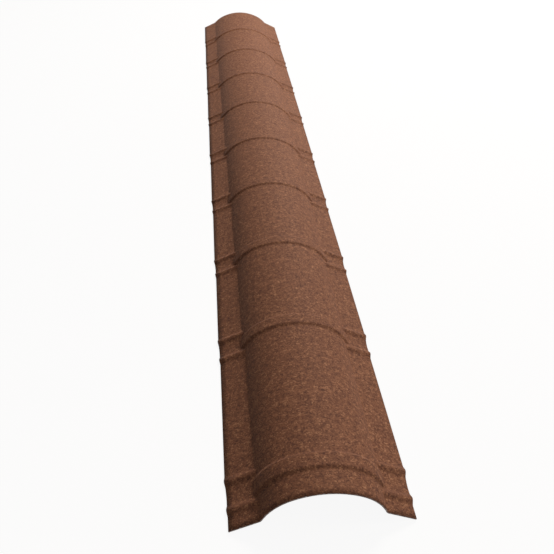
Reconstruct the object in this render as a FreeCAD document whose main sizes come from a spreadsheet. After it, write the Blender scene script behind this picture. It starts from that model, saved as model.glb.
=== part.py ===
"""Roof ridge cap: one pressed sheet, a shallow barrel between two sloping flanges.

Ribs cross the sheet at even steps, so that one long piece looks like a row of short
ridge tiles.  On the barrel a rib is a low bead with a flat top.  On the flanges the
same stroke of the press leaves a shallow trough between two rims, and where bead and
trough meet, the foot of the barrel is pushed outwards.  Each rib also opens the sheet
by one even step: towards the far end its barrel gets wider and flatter, while the
flanges keep their width and slope.  Between the ribs the sheet runs straight.

Frame: X across, Y along the ridge, Z up.  The cap lies on the lower edges of its
flanges at Z = 0, with its middle over the origin.  The end with the first rib is
at -Y, and the plain end that the next cap laps over is at +Y.
"""

import FreeCAD, Part
import os
from math import atan2, cos, pi, radians, sin, sqrt

import Sketcher

V = FreeCAD.Vector

# Driving dimensions, in millimetres and degrees
SIZES = {
    "cap_length": 2000.0,
    "near_height": 62.4,
    "far_height": 54.2,
    "sheet_thickness": 1.6,
    "near_crown_radius": 95.7,
    "far_crown_radius": 137.6,
    "crown_half_angle": 26.0,
    "near_shoulder_radius": 65.2,
    "far_shoulder_radius": 93.7,
    "valley_radius": 5.0,
    "flange_width": 39.8,
    "flange_slope": 24.4,
    "end_to_first_rib": 46.0,
    "first_rib_to_second": 253.5,
    "rib_pitch": 214.5,
    "least_plain_end": 120.0,
    "bead_height": 2.8,
    "bead_half_top": 8.0,
    "bead_half_width": 14.0,
    "trough_depth": 1.2,
    "rim_height": 2.8,
    "rim_from_rib_middle": 20.0,
    "rim_half_width": 9.0,
}

# Places along the ridge, as expressions over the sizes
NEAR_END = "(-sizes.cap_length / 2)"
FAR_END = "(sizes.cap_length / 2)"
FIRST_RIB = f"({NEAR_END} + sizes.end_to_first_rib)"
SECOND_RIB = f"({FIRST_RIB} + sizes.first_rib_to_second)"
EVEN_RIBS = f"(1 + floor(({FAR_END} - {SECOND_RIB} - sizes.least_plain_end) / sizes.rib_pitch))"

# Distances from a rib's middle at which its form is drawn
HALF_RIB = "(sizes.rim_from_rib_middle + sizes.rim_half_width)"
RIB_STEPS = (
    "0",
    "sizes.bead_half_top",
    "sizes.bead_half_width",
    "sizes.rim_from_rib_middle",
    HALF_RIB,
)


def make_sizes(doc):
    """Put the driving dimensions in a sheet, each under its own name."""
    sheet = doc.addObject("Spreadsheet::Sheet", "sizes")
    for row, (alias, value) in enumerate(SIZES.items(), start=1):
        sheet.set(f"A{row}", alias)
        sheet.set(f"B{row}", str(value))
        sheet.setAlias(f"B{row}", alias)
    doc.recompute()
    return sheet


def opened(size, share):
    """What a size comes to where that share of the sheet's opening is done."""
    return f"(sizes.near_{size} + (sizes.far_{size} - sizes.near_{size}) * {share})"


def swell(distance, half_width):
    """A round hump: 1 in its middle, falling to 0 at its half width."""
    return f"(0.5 + 0.5 * cos(180 deg * min(1; {distance} / {half_width})))"


def rib_form(distance):
    """How far the barrel and the flange stand out, that far from a rib's middle."""
    past_top = f"max(0; abs({distance}) - sizes.bead_half_top)"
    bead = swell(past_top, "(sizes.bead_half_width - sizes.bead_half_top)")
    rim = swell(f"abs(abs({distance}) - sizes.rim_from_rib_middle)", "sizes.rim_half_width")
    trough = swell(f"abs({distance})", "sizes.rim_from_rib_middle")
    lift = f"(sizes.bead_height * {bead})"
    rise = f"(sizes.rim_height * {rim} - sizes.trough_depth * {trough})"
    return lift, rise


def section_points(sheet, share, lift, rise):
    """Corners and centres of the half section, right of the middle, as it is drawn.

    share, lift and rise are expressions: how far the sheet has opened there, and how
    far its barrel and its flange stand out of their plain form.
    """
    lift, rise = sheet.evalExpression(lift), sheet.evalExpression(rise)
    height = sheet.evalExpression(opened("height", share))
    crown_radius = sheet.evalExpression(opened("crown_radius", share))
    shoulder_radius = sheet.evalExpression(opened("shoulder_radius", share))

    slope = radians(sheet.flange_slope)
    crown = radians(sheet.crown_half_angle)
    down = V(cos(slope), -sin(slope), 0)
    out = V(sin(slope), cos(slope), 0)
    radial = V(sin(crown), cos(crown), 0)
    crown_centre = V(0, height - crown_radius, 0)
    shoulder_centre = crown_centre + radial * (crown_radius - shoulder_radius)

    plain_edge_z = (sheet.trough_depth + sheet.sheet_thickness) * cos(slope)
    corner_z = plain_edge_z + sheet.flange_width * sin(slope)
    drop = corner_z - shoulder_centre.y
    corner = V(shoulder_centre.x + sqrt(shoulder_radius**2 - drop**2), corner_z, 0)
    plain_edge = corner + down * sheet.flange_width
    edge = plain_edge + out * rise

    # The valley's arc touches the shoulder from outside and the flange from above
    reach = shoulder_radius + lift + sheet.valley_radius
    above = sheet.valley_radius - (shoulder_centre - edge).dot(out)
    valley_centre = shoulder_centre + down * sqrt(reach**2 - above**2) + out * above
    to_valley = (valley_centre - shoulder_centre).normalize()

    points = {
        "crown_centre": crown_centre,
        "shoulder_centre": shoulder_centre,
        "valley_centre": valley_centre,
        "corner": corner,
        "plain_edge": plain_edge,
    }
    for side, depth in (("top", 0.0), ("under", sheet.sheet_thickness)):
        points[f"apex_{side}"] = crown_centre + V(0, crown_radius + lift - depth, 0)
        points[f"shoulder_{side}"] = crown_centre + radial * (crown_radius + lift - depth)
        points[f"foot_{side}"] = shoulder_centre + to_valley * (shoulder_radius + lift - depth)
        points[f"flange_{side}"] = valley_centre - out * (sheet.valley_radius + depth)
        points[f"edge_{side}"] = edge - out * depth
    return points


def arc(centre, start, end):
    """The arc about centre from start to end, anticlockwise."""
    first = atan2(start.y - centre.y, start.x - centre.x)
    last = atan2(end.y - centre.y, end.x - centre.x)
    if last < first:
        last += 2 * pi
    radius = (start - centre).Length
    return Part.ArcOfCircle(Part.Circle(centre, V(0, 0, 1), radius), first, last)


# How a constraint names the points of an edge, the origin and the upright axis
START, END, CENTRE = range(1, 4)
ORIGIN = (-1, START)
Y_AXIS = -2


def add_section(body, sheet, name, place, share, lift="0", rise="0"):
    """Draw half of the sheet's cross-section, across the ridge at that place."""
    sketch = body.newObject("Sketcher::SketchObject", name)
    across = next(f for f in body.Origin.OriginFeatures if f.Role == "XZ_Plane")
    sketch.AttachmentSupport = (across, [""])
    sketch.MapMode = "FlatFace"
    sketch.setExpression("AttachmentOffset.Base.z", f"-{place}")

    p = section_points(sheet, share, lift, rise)
    crown, shoulder, valley, flange = {}, {}, {}, {}
    for side in ("top", "under"):
        crown[side] = sketch.addGeometry(
            arc(p["crown_centre"], p[f"shoulder_{side}"], p[f"apex_{side}"]))
        shoulder[side] = sketch.addGeometry(
            arc(p["shoulder_centre"], p[f"foot_{side}"], p[f"shoulder_{side}"]))
        valley[side] = sketch.addGeometry(
            arc(p["valley_centre"], p[f"foot_{side}"], p[f"flange_{side}"]))
        flange[side] = sketch.addGeometry(
            Part.LineSegment(p[f"flange_{side}"], p[f"edge_{side}"]))
    edge = sketch.addGeometry(Part.LineSegment(p["edge_top"], p["edge_under"]))
    middle = sketch.addGeometry(Part.LineSegment(p["apex_under"], p["apex_top"]))

    # The plain barrel and flange, drawn on to their sharp corner
    plain_barrel = sketch.addGeometry(
        arc(p["shoulder_centre"], p["corner"], p["shoulder_top"]), True)
    plain_flange = sketch.addGeometry(Part.LineSegment(p["corner"], p["plain_edge"]), True)

    constraints, bound = [], {}

    def tie(kind, *ends):
        constraints.append(Sketcher.Constraint(kind, *ends))

    def size(kind, ends, expression):
        bound[len(constraints)] = expression
        tie(kind, *ends, sheet.evalExpression(expression))

    for side in ("top", "under"):
        tie("Tangent", crown[side], START, shoulder[side], END)
        tie("Tangent", shoulder[side], START, valley[side], START)
        tie("Tangent", valley[side], END, flange[side], START)
        tie("PointOnObject", crown[side], END, Y_AXIS)
        tie("Parallel", flange[side], plain_flange)
    for form in (crown, shoulder, valley):
        tie("Coincident", form["top"], CENTRE, form["under"], CENTRE)
    tie("PointOnObject", crown["top"], CENTRE, Y_AXIS)
    tie("Coincident", flange["top"], END, edge, START)
    tie("Coincident", flange["under"], END, edge, END)
    tie("Perpendicular", flange["top"], edge)
    tie("Coincident", crown["under"], END, middle, START)
    tie("Coincident", crown["top"], END, middle, END)
    tie("Coincident", plain_barrel, CENTRE, shoulder["top"], CENTRE)
    tie("Coincident", plain_barrel, START, plain_flange, START)
    tie("PointOnObject", plain_flange, END, edge)

    height, crown_radius = opened("height", share), opened("crown_radius", share)
    shoulder_radius = opened("shoulder_radius", share)
    slope, crown_angle = "(sizes.flange_slope * 1 deg)", "(sizes.crown_half_angle * 1 deg)"
    size("DistanceY", (*ORIGIN, crown["top"], CENTRE), f"{height} - {crown_radius}")
    size("Radius", (crown["top"],), f"{crown_radius} + {lift}")
    size("Radius", (shoulder["top"],), f"{shoulder_radius} + {lift}")
    size("Radius", (plain_barrel,), shoulder_radius)
    size("Radius", (valley["top"],), "sizes.valley_radius")
    size("DistanceX", (*ORIGIN, crown["top"], START), f"({crown_radius} + {lift}) * sin{crown_angle}")
    size("DistanceX", (*ORIGIN, plain_barrel, END), f"{crown_radius} * sin{crown_angle}")
    size("DistanceY", (middle, START, middle, END), "sizes.sheet_thickness")
    size("DistanceX", (plain_flange, START, plain_flange, END), f"sizes.flange_width * cos{slope}")
    size("DistanceY", (plain_flange, END, plain_flange, START), f"sizes.flange_width * sin{slope}")
    size("DistanceY", (*ORIGIN, plain_flange, END),
         f"(sizes.trough_depth + sizes.sheet_thickness) * cos{slope}")
    size("DistanceY", (*ORIGIN, edge, START),
         f"(sizes.trough_depth + sizes.sheet_thickness + {rise}) * cos{slope}")

    sketch.addConstraint(constraints)
    for index, expression in bound.items():
        sketch.setExpression(f"Constraints[{index}]", expression)
    return sketch


def add_rib_sections(body, sheet, number, middle):
    """The sections that a rib is pressed through, from its near run-out to its far one."""
    distances = [f"(-{step})" for step in reversed(RIB_STEPS[1:])] + list(RIB_STEPS)
    sections = []
    for index, distance in enumerate(distances, start=1):
        name, place = f"rib_{number + 1}_section_{index}", f"({middle} + {distance})"
        share = f"(({number} + 0.5 + 0.5 * {distance} / {HALF_RIB}) / (1 + {EVEN_RIBS}))"
        sections.append(add_section(body, sheet, name, place, share, *rib_form(distance)))
    return sections


def make_right_half(doc, sheet):
    """The sheet right of its middle, lofted from end to end through all its ribs."""
    body = doc.addObject("PartDesign::Body", "right_half")
    sections = [add_section(body, sheet, "near_edge", NEAR_END, "0")]
    sections += add_rib_sections(body, sheet, 0, FIRST_RIB)
    for number in range(int(sheet.evalExpression(EVEN_RIBS))):
        middle = f"({SECOND_RIB} + {number} * sizes.rib_pitch)"
        sections += add_rib_sections(body, sheet, number + 1, middle)
    sections.append(add_section(body, sheet, "far_edge", FAR_END, "1"))

    loft = body.newObject("PartDesign::AdditiveLoft", "pressed_sheet")
    loft.Profile = sections[0]
    loft.Sections = sections[1:]
    loft.Ruled = True
    return body


def make_ridge_cap(doc, half):
    """The whole sheet: the right half and its mirror image, as one piece."""
    mirrored = doc.addObject("Part::Mirroring", "left_half")
    mirrored.Source = half
    mirrored.Normal = V(1, 0, 0)
    whole = doc.addObject("Part::Fuse", "ridge_cap")
    whole.Label = "ridge_cap"
    whole.Base = half
    whole.Tool = mirrored
    whole.Refine = True
    return whole


doc = FreeCAD.newDocument("ridge_cap")
sizes = make_sizes(doc)
ridge_cap = make_ridge_cap(doc, make_right_half(doc, sizes))
doc.recompute()

for item in doc.Objects:
    if "Invalid" in item.State or "Error" in item.State:
        raise RuntimeError(f"{item.Name} failed to build")
if ridge_cap.Shape.isNull() or not ridge_cap.Shape.isValid():
    raise RuntimeError("ridge_cap has no valid shape")

os.makedirs("parts", exist_ok=True)
ridge_cap.Shape.exportStep(f"parts/{ridge_cap.Label}.step")
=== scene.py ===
from math import atan2, cos, pi, radians, sin, sqrt

import bpy
from mathutils import Matrix, Vector


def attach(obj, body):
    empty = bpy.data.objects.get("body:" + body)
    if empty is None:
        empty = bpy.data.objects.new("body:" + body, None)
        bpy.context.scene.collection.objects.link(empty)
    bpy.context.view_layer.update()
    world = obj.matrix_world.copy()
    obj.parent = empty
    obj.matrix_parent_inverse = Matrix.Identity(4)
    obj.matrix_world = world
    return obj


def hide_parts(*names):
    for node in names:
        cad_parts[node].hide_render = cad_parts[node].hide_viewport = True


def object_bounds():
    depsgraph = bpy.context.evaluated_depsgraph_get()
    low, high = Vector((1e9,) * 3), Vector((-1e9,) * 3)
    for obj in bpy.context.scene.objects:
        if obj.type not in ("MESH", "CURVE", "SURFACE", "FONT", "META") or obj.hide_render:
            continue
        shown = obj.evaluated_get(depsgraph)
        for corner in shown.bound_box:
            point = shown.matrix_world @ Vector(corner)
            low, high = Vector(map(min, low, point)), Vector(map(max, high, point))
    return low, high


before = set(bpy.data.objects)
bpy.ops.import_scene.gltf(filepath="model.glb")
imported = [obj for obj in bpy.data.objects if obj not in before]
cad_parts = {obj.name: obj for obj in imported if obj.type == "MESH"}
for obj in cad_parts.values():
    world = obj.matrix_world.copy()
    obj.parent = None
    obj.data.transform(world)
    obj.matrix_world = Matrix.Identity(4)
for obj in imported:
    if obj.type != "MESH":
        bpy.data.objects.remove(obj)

cad_lo, cad_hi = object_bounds()

# The ridge cap
# One strip of thin zinc-coated steel, primed on both faces and covered with stone
# granules on the outer one while it is flat.  A press then folds it cold, stroke by
# stroke, into a barrel between two flanges, with a rib at each stroke.
MM = 0.001
NEAR_END = cad_lo.y / MM
FAR_END = cad_hi.y / MM
SHEET_THICKNESS = 1.6
NEAR_HEIGHT, FAR_HEIGHT = 62.4, 54.2
NEAR_CROWN_RADIUS, FAR_CROWN_RADIUS = 95.7, 137.6
NEAR_SHOULDER_RADIUS, FAR_SHOULDER_RADIUS = 65.2, 93.7
CROWN_HALF_ANGLE = radians(26.0)
VALLEY_RADIUS = 5.0
FLANGE_WIDTH = 39.8
FLANGE_SLOPE = radians(24.4)

# The ribs: the first lies close to the near end, and the others follow evenly.  On the
# barrel a rib is a low bead with a flat top, and on the flanges a trough between two rims.
END_TO_FIRST_RIB = 46.0
FIRST_RIB_TO_SECOND = 253.5
RIB_PITCH = 214.5
EVEN_RIBS = 8
BEAD_HEIGHT = 2.8
BEAD_HALF_TOP = 8.0
BEAD_HALF_WIDTH = 14.0
TROUGH_DEPTH = 1.2
RIM_HEIGHT = 2.8
RIM_FROM_RIB_MIDDLE = 20.0
RIM_HALF_WIDTH = 9.0
HALF_RIB = RIM_FROM_RIB_MIDDLE + RIM_HALF_WIDTH

first_rib = NEAR_END + END_TO_FIRST_RIB
second_rib = first_rib + FIRST_RIB_TO_SECOND
ribs = [first_rib] + [second_rib + RIB_PITCH * i for i in range(EVEN_RIBS)]


def swell(distance, half_width):
    """A round hump: 1 in its middle, falling to 0 at its half width."""
    return 0.5 + 0.5 * cos(pi * min(1.0, abs(distance) / half_width))


def rib_form(distance):
    """How far the barrel and the flange stand out, that far from a rib's middle."""
    past_top = max(0.0, abs(distance) - BEAD_HALF_TOP)
    bead = BEAD_HEIGHT * swell(past_top, BEAD_HALF_WIDTH - BEAD_HALF_TOP)
    rim = RIM_HEIGHT * swell(abs(distance) - RIM_FROM_RIB_MIDDLE, RIM_HALF_WIDTH)
    return bead, rim - TROUGH_DEPTH * swell(distance, RIM_FROM_RIB_MIDDLE)


def opened(near, far, place):
    """What a size that changes by one even step at each rib comes to at that place."""
    passed = [min(1.0, max(0.0, 0.5 + (place - rib) / (2 * HALF_RIB))) for rib in ribs]
    return near + (far - near) * sum(passed) / len(ribs)


# Faces across each part of the half section, and millimetres between the mesh's rows
CROWN_STEPS, SHOULDER_STEPS, VALLEY_STEPS, FLANGE_STEPS = 10, 12, 6, 4
RIB_ROW_STEP, PLAIN_ROW_STEP = 1.5, 9.0


def half_section(place, depth):
    """Points from the crown to the flange's edge, that far below the outer face."""
    lift, rise = rib_form(min((place - rib for rib in ribs), key=abs))
    height = opened(NEAR_HEIGHT, FAR_HEIGHT, place)
    crown_radius = opened(NEAR_CROWN_RADIUS, FAR_CROWN_RADIUS, place)
    shoulder_radius = opened(NEAR_SHOULDER_RADIUS, FAR_SHOULDER_RADIUS, place)

    down = Vector((cos(FLANGE_SLOPE), -sin(FLANGE_SLOPE)))
    out = Vector((sin(FLANGE_SLOPE), cos(FLANGE_SLOPE)))
    radial = Vector((sin(CROWN_HALF_ANGLE), cos(CROWN_HALF_ANGLE)))
    crown_centre = Vector((0.0, height - crown_radius))
    shoulder_centre = crown_centre + radial * (crown_radius - shoulder_radius)
    plain_edge_z = (TROUGH_DEPTH + SHEET_THICKNESS) * cos(FLANGE_SLOPE)
    corner_z = plain_edge_z + FLANGE_WIDTH * sin(FLANGE_SLOPE)
    corner_x = shoulder_centre.x + sqrt(shoulder_radius**2 - (corner_z - shoulder_centre.y) ** 2)
    edge = Vector((corner_x, corner_z)) + down * FLANGE_WIDTH + out * rise

    # The valley's arc touches the shoulder from outside and the flange from above
    reach = shoulder_radius + lift + VALLEY_RADIUS
    above = VALLEY_RADIUS - (shoulder_centre - edge).dot(out)
    valley_centre = shoulder_centre + down * sqrt(reach**2 - above**2) + out * above
    to_valley = valley_centre - shoulder_centre
    foot_angle = atan2(to_valley.x, to_valley.y)
    flange_start = valley_centre - out * (VALLEY_RADIUS + depth)

    points = []
    for centre, radius, start, end, steps in (
            (crown_centre, crown_radius + lift - depth, 0.0, CROWN_HALF_ANGLE, CROWN_STEPS),
            (shoulder_centre, shoulder_radius + lift - depth, CROWN_HALF_ANGLE, foot_angle, SHOULDER_STEPS),
            (valley_centre, -VALLEY_RADIUS - depth, foot_angle, FLANGE_SLOPE, VALLEY_STEPS)):
        for i in range(steps):
            turn = start + (end - start) * i / steps
            points.append(centre + Vector((sin(turn), cos(turn))) * radius)
    for i in range(FLANGE_STEPS + 1):
        points.append(flange_start.lerp(edge - out * depth, i / FLANGE_STEPS))
    return points


# Rows of the mesh: close together over a rib, wide apart on the plain stretches
stops = [NEAR_END] + [rib + side * HALF_RIB for rib in ribs for side in (-1, 1)] + [FAR_END]
rows = []
for i, (start, end) in enumerate(zip(stops, stops[1:])):
    count = round((end - start) / (RIB_ROW_STEP if i % 2 else PLAIN_ROW_STEP))
    rows += [start + (end - start) * j / count for j in range(count)]
rows.append(FAR_END)

verts = []
for row in rows:
    for depth in (0.0, SHEET_THICKNESS):
        right = half_section(row, depth)
        whole = [Vector((-p.x, p.y)) for p in reversed(right[1:])] + right
        verts += [(p.x * MM, row * MM, p.y * MM) for p in whole]
columns = len(verts) // (2 * len(rows))


def corner(row, column, under):
    """The vertex at a row and a column, on the outer face or under it."""
    return (2 * row + under) * columns + column


COATED, UNDERSIDE, CUT_EDGE = range(3)
faces, finishes = [], []
for r in range(len(rows) - 1):
    for c in range(columns - 1):
        faces.append([corner(r, c, 0), corner(r, c + 1, 0), corner(r + 1, c + 1, 0), corner(r + 1, c, 0)])
        faces.append([corner(r, c, 1), corner(r + 1, c, 1), corner(r + 1, c + 1, 1), corner(r, c + 1, 1)])
        finishes += [COATED, UNDERSIDE]
    last = columns - 1
    faces.append([corner(r, 0, 0), corner(r + 1, 0, 0), corner(r + 1, 0, 1), corner(r, 0, 1)])
    faces.append([corner(r, last, 0), corner(r, last, 1), corner(r + 1, last, 1), corner(r + 1, last, 0)])
    finishes += [CUT_EDGE, CUT_EDGE]
end = len(rows) - 1
for c in range(columns - 1):
    faces.append([corner(0, c, 0), corner(0, c, 1), corner(0, c + 1, 1), corner(0, c + 1, 0)])
    faces.append([corner(end, c, 0), corner(end, c + 1, 0), corner(end, c + 1, 1), corner(end, c, 1)])
    finishes += [CUT_EDGE, CUT_EDGE]

sheet_mesh = bpy.data.meshes.new("pressed_sheet")
sheet_mesh.from_pydata(verts, [], faces)
sheet_mesh.polygons.foreach_set("material_index", finishes)
sheet_mesh.polygons.foreach_set("use_smooth", [finish != CUT_EDGE for finish in finishes])
pressed_sheet = bpy.data.objects.new("pressed_sheet", sheet_mesh)
bpy.context.scene.collection.objects.link(pressed_sheet)


def linear(hex_colour):
    """An sRGB hex colour as the linear RGBA that a node takes."""
    channels = [int(hex_colour[i:i + 2], 16) / 255 for i in (1, 3, 5)]
    return [c / 12.92 if c <= 0.04045 else ((c + 0.055) / 1.055) ** 2.4 for c in channels] + [1.0]


def add(tree, kind, settings=None, inputs=None):
    """Add a node, set its own settings, and set or link its inputs."""
    node = tree.nodes.new(kind)
    for name, value in (settings or {}).items():
        setattr(node, name, value)
    for name, value in (inputs or {}).items():
        if isinstance(value, bpy.types.NodeSocket):
            tree.links.new(value, node.inputs[name])
        else:
            node.inputs[name].default_value = value
    return node


def new_material(name):
    """An empty node material and its tree."""
    material = bpy.data.materials.new(name)
    material.use_nodes = True
    material.node_tree.nodes.clear()
    return material, material.node_tree


def set_ramp(ramp, stops_and_colours):
    """Put colours on a ramp node, each at its own stop."""
    elements = ramp.color_ramp.elements
    while len(elements) < len(stops_and_colours):
        elements.new(1.0)
    for element, (position, colour) in zip(elements, stops_and_colours):
        element.position = position
        element.color = linear(colour)


# Stone granules: crushed basalt in a fired ceramic glaze, bedded in brown acrylic.
# They look rough and nearly matte, each a little lighter, darker or redder than the next,
# and they lie in faint clumps where they were scattered more thickly.  Real ones are
# about 1 mm, drawn at 1.7 mm here so that the speckle shows.
GRANULE_SIZE = 1.7
GRANULE_RELIEF = 0.6
CLUMP_SIZE = 7.0
CLUMP_SHARE = 0.3
granules, tree = new_material("stone_granules")
place = add(tree, "ShaderNodeTexCoord").outputs["Object"]
chips = add(tree, "ShaderNodeTexVoronoi", {"feature": "F1"},
            {"Vector": place, "Scale": 1 / (GRANULE_SIZE * MM), "Randomness": 1.0})
chip_tone = add(tree, "ShaderNodeSeparateColor", {}, {"Color": chips.outputs["Color"]})
clumps = add(tree, "ShaderNodeTexNoise", {}, {"Vector": place, "Scale": 1 / (CLUMP_SIZE * MM), "Detail": 1.0})
clump_tone = add(tree, "ShaderNodeMapRange", {},
                 {"Value": clumps.outputs["Fac"], "From Min": 0.3, "From Max": 0.7})
tone = add(tree, "ShaderNodeMix", {},
           {"Factor": CLUMP_SHARE, "A": chip_tone.outputs["Red"], "B": clump_tone.outputs["Result"]})
glaze = add(tree, "ShaderNodeValToRGB", {}, {"Fac": tone.outputs["Result"]})
set_ramp(glaze, [(0.0, "#4a2e23"), (0.35, "#6b4634"), (0.7, "#815740"), (1.0, "#a67a5c")])
chip_bump = add(tree, "ShaderNodeBump", {"invert": True},
                {"Height": chips.outputs["Distance"], "Strength": 0.4, "Distance": GRANULE_RELIEF * MM})
surface = add(tree, "ShaderNodeBsdfPrincipled", {},
              {"Base Color": glaze.outputs["Color"], "Roughness": 0.75, "IOR": 1.45,
               "Specular IOR Level": 0.2, "Normal": chip_bump.outputs["Normal"]})
add(tree, "ShaderNodeOutputMaterial", {}, {"Surface": surface.outputs["BSDF"]})

# Underside primer: a thin brown polyester coat, rolled on along the strip and baked.
# It looks smooth and satin, with faint streaks lengthwise and a fine orange peel.
STREAK_WIDTH, STREAK_LENGTH = 4.0, 120.0
PEEL_SIZE, PEEL_RELIEF = 2.0, 0.2
underside, tree = new_material("baked_polyester_primer")
place = add(tree, "ShaderNodeTexCoord").outputs["Object"]
along = add(tree, "ShaderNodeVectorMath", {"operation": "MULTIPLY"},
            {0: place, 1: (1.0, STREAK_WIDTH / STREAK_LENGTH, 1.0)})
streaks = add(tree, "ShaderNodeTexNoise", {},
              {"Vector": along.outputs["Vector"], "Scale": 1 / (STREAK_WIDTH * MM), "Detail": 3.0})
coat = add(tree, "ShaderNodeValToRGB", {}, {"Fac": streaks.outputs["Fac"]})
set_ramp(coat, [(0.3, "#54392f"), (0.7, "#66493d")])
gloss = add(tree, "ShaderNodeMapRange", {}, {"Value": streaks.outputs["Fac"], "To Min": 0.42, "To Max": 0.58})
peel = add(tree, "ShaderNodeTexNoise", {}, {"Vector": place, "Scale": 1 / (PEEL_SIZE * MM)})
peel_bump = add(tree, "ShaderNodeBump", {},
                {"Height": peel.outputs["Fac"], "Strength": 0.1, "Distance": PEEL_RELIEF * MM})
surface = add(tree, "ShaderNodeBsdfPrincipled", {},
              {"Base Color": coat.outputs["Color"], "Roughness": gloss.outputs["Result"], "IOR": 1.5,
               "Normal": peel_bump.outputs["Normal"]})
add(tree, "ShaderNodeOutputMaterial", {}, {"Surface": surface.outputs["BSDF"]})

# Sheared edge: galvanised steel cut by a blade, which smears the brown coats over it.
# It looks brown and dull, with a few bare flecks of grey metal.
FLECK_SIZE = 1.5
cut_edge, tree = new_material("sheared_galvanised_steel")
place = add(tree, "ShaderNodeTexCoord").outputs["Object"]
flecks = add(tree, "ShaderNodeTexNoise", {}, {"Vector": place, "Scale": 1 / (FLECK_SIZE * MM), "Detail": 3.0})
bare = add(tree, "ShaderNodeMapRange", {},
           {"Value": flecks.outputs["Fac"], "From Min": 0.58, "From Max": 0.66})
smear = add(tree, "ShaderNodeValToRGB", {}, {"Fac": bare.outputs["Result"]})
set_ramp(smear, [(0.0, "#7a5a4c"), (1.0, "#a8a6a2")])
surface = add(tree, "ShaderNodeBsdfPrincipled", {},
              {"Base Color": smear.outputs["Color"], "Metallic": bare.outputs["Result"], "Roughness": 0.5})
add(tree, "ShaderNodeOutputMaterial", {}, {"Surface": surface.outputs["BSDF"]})

for finish in (granules, underside, cut_edge):
    sheet_mesh.materials.append(finish)
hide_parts("ridge_cap")
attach(pressed_sheet, "root")

# The studio floor
# A wide sheet of matte paper, lying flat.  It is seen, straight or mirrored, as white
# with a faint shadow on it, and it throws the light of a pale grey sheet on the cap.
FLOOR_REACH = 14.0
FLOOR_GLOW = 0.92
floor_mesh = bpy.data.meshes.new("floor")
floor_mesh.from_pydata([(-FLOOR_REACH, -FLOOR_REACH, 0), (FLOOR_REACH, -FLOOR_REACH, 0),
                        (FLOOR_REACH, FLOOR_REACH, 0), (-FLOOR_REACH, FLOOR_REACH, 0)],
                       [], [(0, 1, 2, 3)])
floor = bpy.data.objects.new("floor", floor_mesh)
bpy.context.scene.collection.objects.link(floor)


def seen_rays(tree):
    """1 for the rays that show the background: straight, mirrored or through glass."""
    rays = add(tree, "ShaderNodeLightPath")
    mirrored = add(tree, "ShaderNodeMath", {"operation": "MAXIMUM"},
                   {0: rays.outputs["Is Glossy Ray"], 1: rays.outputs["Is Transmission Ray"]})
    return add(tree, "ShaderNodeMath", {"operation": "MAXIMUM"},
               {0: rays.outputs["Is Camera Ray"], 1: mirrored.outputs[0]}).outputs[0]


floor_paper, tree = new_material("matte_paper")
grey = add(tree, "ShaderNodeBsdfDiffuse", {}, {"Color": linear("#a8a8a8")})
white = add(tree, "ShaderNodeBsdfDiffuse", {}, {"Color": linear("#f4f4f4")})
glow = add(tree, "ShaderNodeEmission", {}, {"Color": linear("#ffffff"), "Strength": 1.0})
bright = add(tree, "ShaderNodeMixShader", {}, {0: FLOOR_GLOW, 1: white.outputs[0], 2: glow.outputs[0]})
paper = add(tree, "ShaderNodeMixShader", {}, {0: seen_rays(tree), 1: grey.outputs[0], 2: bright.outputs[0]})
add(tree, "ShaderNodeOutputMaterial", {}, {"Surface": paper.outputs[0]})
floor_mesh.materials.append(floor_paper)

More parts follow.
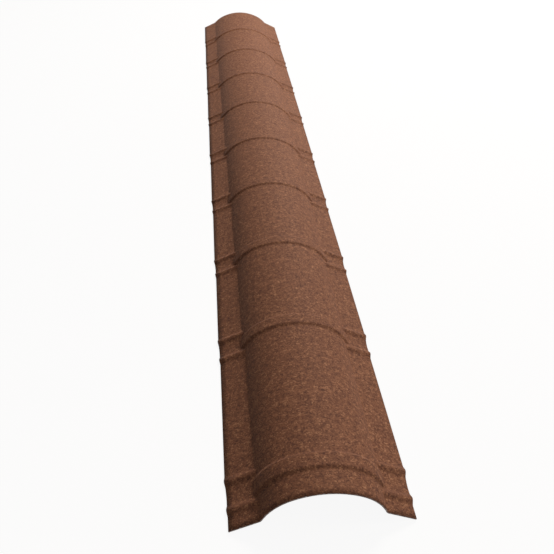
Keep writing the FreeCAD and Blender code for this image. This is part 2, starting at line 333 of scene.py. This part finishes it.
# The studio light
# Three soft boxes on stands, warm white, and a dim room beyond them that is seen as white,
# straight or mirrored.  The weak box by the near end fills the shade on the ribs.
SOFT_BOX_SIZE = 1.2
ROOM_GLOW = 0.03
world = bpy.data.worlds.new("studio")
bpy.context.scene.world = world
world.use_nodes = True
tree = world.node_tree
tree.nodes.clear()
room = add(tree, "ShaderNodeBackground", {}, {"Color": linear("#ffffff"), "Strength": ROOM_GLOW})
backdrop = add(tree, "ShaderNodeBackground", {}, {"Color": linear("#ffffff"), "Strength": 1.0})
studio = add(tree, "ShaderNodeMixShader", {},
             {0: seen_rays(tree), 1: room.outputs[0], 2: backdrop.outputs[0]})
add(tree, "ShaderNodeOutputWorld", {}, {"Surface": studio.outputs[0]})


def soft_box(name, place, power):
    """A square lamp, turned to face the middle of the cap."""
    lamp = bpy.data.lights.new(name, "AREA")
    lamp.shape = "SQUARE"
    lamp.size = SOFT_BOX_SIZE
    lamp.energy = power
    lamp.color = linear("#fff4ea")[:3]
    stand = bpy.data.objects.new(name, lamp)
    stand.location = place
    stand.rotation_euler = (-Vector(place)).to_track_quat("-Z", "Y").to_euler()
    bpy.context.scene.collection.objects.link(stand)


soft_box("far_right_box", (1.20, 1.60, 2.20), 94.0)
soft_box("near_right_box", (1.80, -1.04, 1.87), 20.0)
soft_box("near_box", (0.0, -2.08, 1.87), 5.0)

# The camera
# It stands before the near end and above it, a little to the left, and looks along the
# cap and down.  Its place is in millimetres and its lens in pixels of the picture.
CAMERA_PLACE = Vector((-113.7, -1432.1, 678.7))
CAMERA_YAW, CAMERA_PITCH, CAMERA_ROLL = 0.1142, -0.6326, 0.0345
FOCAL_PIXELS = 656.9
PICTURE_PIXELS = 554
SENSOR_WIDTH = 36.0
forward = Vector((sin(CAMERA_YAW) * cos(CAMERA_PITCH),
                  cos(CAMERA_YAW) * cos(CAMERA_PITCH),
                  sin(CAMERA_PITCH)))
level = Vector((cos(CAMERA_YAW), -sin(CAMERA_YAW), 0.0))
upright = level.cross(forward)
right = level * cos(CAMERA_ROLL) + upright * sin(CAMERA_ROLL)
up = upright * cos(CAMERA_ROLL) - level * sin(CAMERA_ROLL)
lens = bpy.data.cameras.new("camera")
lens.sensor_width = SENSOR_WIDTH
lens.lens = FOCAL_PIXELS * SENSOR_WIDTH / PICTURE_PIXELS
camera = bpy.data.objects.new("camera", lens)
turned = Matrix((right, up, -forward)).transposed().to_4x4()
camera.matrix_world = Matrix.Translation(CAMERA_PLACE * MM) @ turned
bpy.context.scene.collection.objects.link(camera)
bpy.context.scene.camera = camera
bpy.context.scene.view_settings.view_transform = "Standard"
